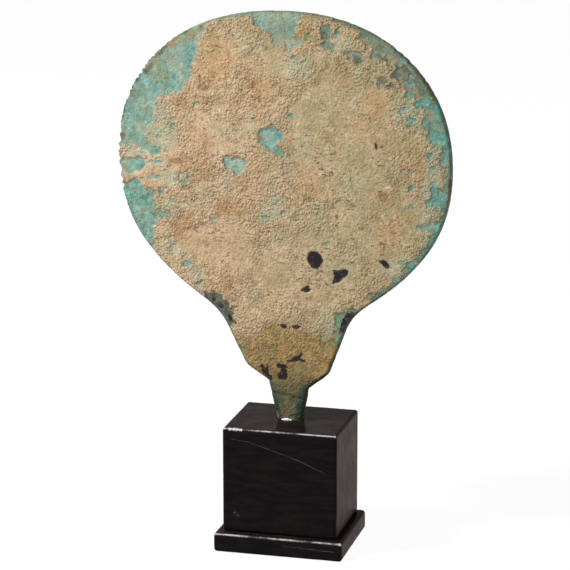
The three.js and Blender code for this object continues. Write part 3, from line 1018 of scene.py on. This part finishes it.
def rubbed_edges(away):
    """Where a highlight is painted on the lacquer: 1 along the front top edge, and less on other edges."""
    x, y, z = away.T
    front_top = np.clip(-2 * y * z, 0, 1)
    front_side = np.clip(-2 * y * np.abs(x), 0, 1)
    side_top = np.clip(2 * np.abs(x) * z, 0, 1)
    back = np.clip(2 * y * np.maximum(np.abs(x), z), 0, 1)
    return np.clip(front_top + 0.5 * front_side + 0.6 * side_top + 0.5 * back, 0, 1)


def nearness(points, spot, size):
    """1 at the spot, falling to 0 at the edge of an ellipsoid of that size round it."""
    return smoothstep(1, 0.2, np.linalg.norm((points - spot) / size, axis=1))


def scratch_fields(points, away, path):
    """How far each point lies above the scratch, and how clearly the scratch shows there."""
    x, y, z = points.T
    stops, heights = np.array(path, float).T
    above = z - np.interp(x, stops, heights)
    start, end = stops[0], stops[-1]
    along = smoothstep(start, start + SCRATCH_FADE, x) * smoothstep(end, end - SCRATCH_FADE, x)
    return above, along * smoothstep(0.9, 0.99, -away[:, 1])


def chipped(points, away, chips):
    """The points with chips pulled in, and how light the chip is at each."""
    nicks = np.zeros(len(points))
    facing = (away * (0, -1, 1)).clip(0)
    for spot, size, light in chips:
        near = nearness(points, np.array(spot), np.array(size))
        nicks = np.maximum(nicks, light * near)
        points = points + np.array(CHIP_PULL) * facing * near[:, None]
    return points, nicks


def box_piece(name, low, high, radius, scratch, chips=()):
    """A box of the stand; chips are (spot, size, how light)."""
    points, faces, away = rounded_box(np.array(low) / MM, np.array(high) / MM, radius)
    above, shown = scratch_fields(points, away, scratch)
    points, nicks = chipped(lacquer_waves(points, away), away, chips)
    mesh = new_mesh(name, metres(points), faces)
    mesh.shade_smooth()
    # Masks of the side faces and the top faces, which get painted warm reflections in the lacquer's colour.
    dull = smoothstep(0.6, 0.95, np.abs(away[:, 0]))
    level = smoothstep(0.8, 0.98, away[:, 2])
    # Fields for the lacquer: a painted highlight along the edges, the side and top faces, the scratch and the
    # chips.
    set_fields(mesh, rubbed=rubbed_edges(away), above=above, shown=shown, nick=nicks, dull=dull, level=level)
    return place_piece(name, mesh)


def slot_cutter():
    """The tapered space for the tang, with a small gap all round."""
    taper = (TANG_ENTRY[0] - TANG_TIP_HALF) / TANG_DEPTH
    top, bottom = 3, -TANG_DEPTH - SLOT_GAP
    wide, narrow = TANG_ENTRY[0] + SLOT_GAP + taper * top, TANG_TIP_HALF + SLOT_GAP
    half = TANG_HALF + SLOT_GAP
    corners = [(-narrow, bottom), (narrow, bottom), (wide, top), (-wide, top)]
    vertices = [(u, v, w) for w in (-half, half) for u, v in corners]
    faces = [(3, 2, 1, 0), (4, 5, 6, 7), *[(k, (k + 1) % 4, (k + 1) % 4 + 4, k + 4) for k in range(4)]]
    mesh = new_mesh("slot_cutter", metres(vertices), faces)
    mesh.transform(STANDING)
    return place_piece("slot_cutter", mesh)


def cut(piece, cutter):
    modifier = piece.modifiers.new("slot", "BOOLEAN")
    modifier.operation = "DIFFERENCE"
    modifier.solver = "EXACT"
    modifier.object = cutter
    evaluated = piece.evaluated_get(bpy.context.evaluated_depsgraph_get())
    mesh = bpy.data.meshes.new_from_object(evaluated)
    piece.modifiers.clear()
    piece.data = mesh
    bpy.data.objects.remove(cutter)


def lacquer_colour(n, streaks, cloud, edge_amount):
    """Black lacquer with a browner side, as painted warm reflections on the sides and the top, a pale painted
    highlight along the edges, dust, a scratch and whitish nicks.
    """
    grain = n.noise(2.4, 4, 0.65, scale=(1, 1, 0.3))
    black = n.mix(n.step(streaks, 0.4, 0.65), srgb(16, 13, 14), srgb(21, 18, 18))
    # Warm brown clouds on the top faces: a painted reflection.
    black = n.mix(n.times("level", n.step(cloud, 0.4, 0.62)), black, srgb(30, 22, 19))
    # The sides lighter and browner than the front: a painted warm reflection, mottled by noise.
    side = n.mix(n.step(grain, 0.38, 0.62), srgb(40, 26, 23), srgb(53, 38, 34))
    colour = n.mix("dull", black, side)
    # A pale painted highlight along the edges, strongest on the front top edge.
    colour = n.mix(edge_amount, colour, srgb(176, 170, 176))
    colour = n.mix(n.step(n.noise(0.7, 2), 0.74, 0.8, 0, 0.12), colour, srgb(90, 84, 84))
    line = n.step(n.math("ABSOLUTE", "above"), *SCRATCH_HALF, 1, 0)
    line = n.times(line, n.step(n.noise(5, 4, 0.7), 0.36, 0.6, 0.1, 0.6))
    colour = n.mix(n.times(line, "shown"), colour, srgb(84, 78, 80))
    nick = n.times("nick", n.step(n.noise(1.1, 3, 0.6), 0.4, 0.52))
    return n.mix(nick, colour, srgb(206, 202, 206))


def lacquer_material():
    n = Nodes(bpy.data.materials.new("black_lacquer"))
    streaks = n.noise(2.2, 4, 0.6, scale=(0.2, 0.2, 1))
    cloud = n.noise(9, 3)
    uneven = n.step(n.noise(7, 4, 0.7), 0.38, 0.6, 0.1, 1)
    # The painted highlight along the edges, broken up by noise; it also makes the lacquer a little rougher
    # there.
    edge_amount = n.times(n.math("POWER", "rubbed", 9), uneven)
    rough = n.plus(n.step(cloud, 0.3, 0.7, 0.10, 0.18), n.times(edge_amount, 0.2))
    height = n.plus(n.times(streaks, 0.5), n.times(cloud, 0.5))
    return n.finish(
        Base_Color=lacquer_colour(n, streaks, cloud, edge_amount),
        Roughness=n.plus(rough, n.times("dull", 0.2)),
        Normal=n.bump(height, LACQUER_BUMP),
        IOR=LACQUER_IOR,
    )


def block_chips():
    """BLOCK_CHIPS as (spot, size, how light)."""
    front, top = BLOCK_LOW.y / MM, BLOCK_HIGH.z / MM
    return [((x, front + behind, top - below), size, light) for x, behind, below, size, light in BLOCK_CHIPS]


def make_stand():
    lacquer = lacquer_material()
    block = box_piece("block_lacquered", BLOCK_LOW, BLOCK_HIGH, BLOCK_EDGE, BLOCK_SCRATCH, block_chips())
    cut(block, slot_cutter())
    plate = box_piece("base_plate_lacquered", PLATE_LOW, PLATE_HIGH, PLATE_EDGE, PLATE_SCRATCH)
    for piece, node in ((block, "block"), (plate, "base_plate")):
        piece.data.materials.append(lacquer)
        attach(piece, "root")
        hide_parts(node)


# ---- The adhesive ----

SMEAR_RINGS = 12
SMEAR_SECTORS = 40
SMEAR_BUMP = 0.12


def adhesive_material():
    n = Nodes(bpy.data.materials.new("dried_adhesive"))
    cloud = n.noise(1.2, 3, 0.6)
    return n.finish(
        Base_Color=n.mix(n.step(cloud, 0.4, 0.62), srgb(214, 208, 208), srgb(158, 148, 146)),
        Roughness=n.step(cloud, 0.3, 0.7, 0.3, 0.6),
        Normal=n.bump(cloud, SMEAR_BUMP),
    )


def smear_vertices():
    """Rings of a lumpy dome that fills the bead's box, and its top."""
    centre = (BEAD_LOW + BEAD_HIGH) / 2
    half = (BEAD_HIGH - BEAD_LOW) / 2
    ring, k = np.divmod(np.arange(SMEAR_RINGS * SMEAR_SECTORS), SMEAR_SECTORS)
    rise = math.pi / 2 * ring / SMEAR_RINGS
    angle = 2 * math.pi * k / SMEAR_SECTORS
    x, y = np.cos(angle) * np.cos(rise), np.sin(angle) * np.cos(rise)
    lump = noise(3 * x + 5, 3 * y + 3 * rise, 1.2, 71)
    out = 0.86 + 0.13 * lump
    up = np.sin(rise) * (0.8 + 0.18 * lump)
    dome = [centre.x + half.x * x * out, centre.y + half.y * y * out, BEAD_LOW.z + 2 * half.z * up]
    return np.vstack([np.stack(dome, axis=1), (centre.x, centre.y, BEAD_LOW.z + 2 * half.z * 0.85)])


def smear_faces():
    count = SMEAR_SECTORS
    faces = [(a, d, c, b) for a, b, c, d in ring_strips(SMEAR_RINGS, count)]
    last = (SMEAR_RINGS - 1) * count
    faces += [(last + k, last + (k + 1) % count, last + count) for k in range(count)]
    faces.append(tuple(reversed(range(count))))
    return faces


def make_adhesive():
    """A lumpy smear of dried adhesive on the block, in front of the tang's foot."""
    mesh = new_mesh("adhesive_smear", smear_vertices(), smear_faces())
    mesh.shade_smooth()
    mesh.materials.append(adhesive_material())
    piece = place_piece("adhesive_smear", mesh)
    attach(piece, "root")
    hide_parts("adhesive_bead")


# ---- The studio ----

CAMERA = {"azimuth": 14.51, "elevation": 13.84, "distance": 1.0604}
CAMERA_TARGET = Vector((-0.00269, 0, 0.11347))
CAMERA_LENS = 157.9
SENSOR_WIDTH = 36
FLOOR_HALF = 6
FLOOR_COLOUR = (0.06, 0.06, 0.06, 1)
FLOOR_GLOW = 0.95

# The world's light goes from low to high over this range of the elevation's sine.
WORLD_RANGE = (0.3, 0.75)
WORLD_LOW = (0.80, 0.71, 0.68, 1)
WORLD_HIGH = (0.26, 0.26, 0.26, 1)
KEY = {"azimuth": -56, "elevation": 42, "distance": 1.4, "size": 0.22, "radiance": 255}
FILL = {"azimuth": 40, "elevation": 25, "distance": 2.0, "size": 1.2, "radiance": 0.8}


def aim(thing, azimuth, elevation, distance):
    """Puts a thing right of the front by azimuth and up by elevation, facing CAMERA_TARGET."""
    azimuth, elevation = math.radians(azimuth), math.radians(elevation)
    towards = Vector((
        math.sin(azimuth) * math.cos(elevation),
        -math.cos(azimuth) * math.cos(elevation),
        math.sin(elevation),
    ))
    thing.location = CAMERA_TARGET + towards * distance
    thing.rotation_euler = towards.to_track_quat("Z", "Y").to_euler()


def make_camera():
    camera = place_piece("camera", bpy.data.cameras.new("camera"))
    aim(camera, **CAMERA)
    camera.data.sensor_width = SENSOR_WIDTH
    camera.data.lens = CAMERA_LENS
    bpy.context.scene.camera = camera


def make_softbox(name, size, radiance, **where):
    light = bpy.data.lights.new(name, "AREA")
    light.shape = "SQUARE"
    light.size = size
    light.energy = radiance * math.pi * size * size
    aim(place_piece(name, light), **where)


def make_floor():
    corners = [(x * FLOOR_HALF, y * FLOOR_HALF, 0) for x, y in ((-1, -1), (1, -1), (1, 1), (-1, 1))]
    mesh = new_mesh("floor", corners, [(0, 1, 2, 3)])
    mesh.materials.append(Nodes(bpy.data.materials.new("pale_floor")).finish(
        Base_Color=FLOOR_COLOUR,
        Roughness=1.0,
        Specular_IOR_Level=0,
        Emission_Color=(1, 1, 1, 1),
        Emission_Strength=FLOOR_GLOW,
    ))
    place_piece("floor", mesh)


def make_world():
    """A pale world, warm near the horizon and darker above."""
    n = Nodes(bpy.data.worlds.new("studio"), "Generated")
    height = n.add("ShaderNodeSeparateXYZ", output="Z", inputs={"Vector": n.place})
    share = n.add("ShaderNodeMapRange", output="Result", inputs={
        "Value": height, "From Min": WORLD_RANGE[0], "From Max": WORLD_RANGE[1]})
    bpy.context.scene.world = n.finish("Background", Color=n.mix(share, WORLD_LOW, WORLD_HIGH))


def make_studio():
    make_floor()
    make_softbox("key_light", **KEY)
    make_softbox("fill_light", **FILL)
    make_world()
    make_camera()
    bpy.context.scene.view_settings.view_transform = "Standard"


make_mirror()
make_stand()
make_adhesive()
make_studio()
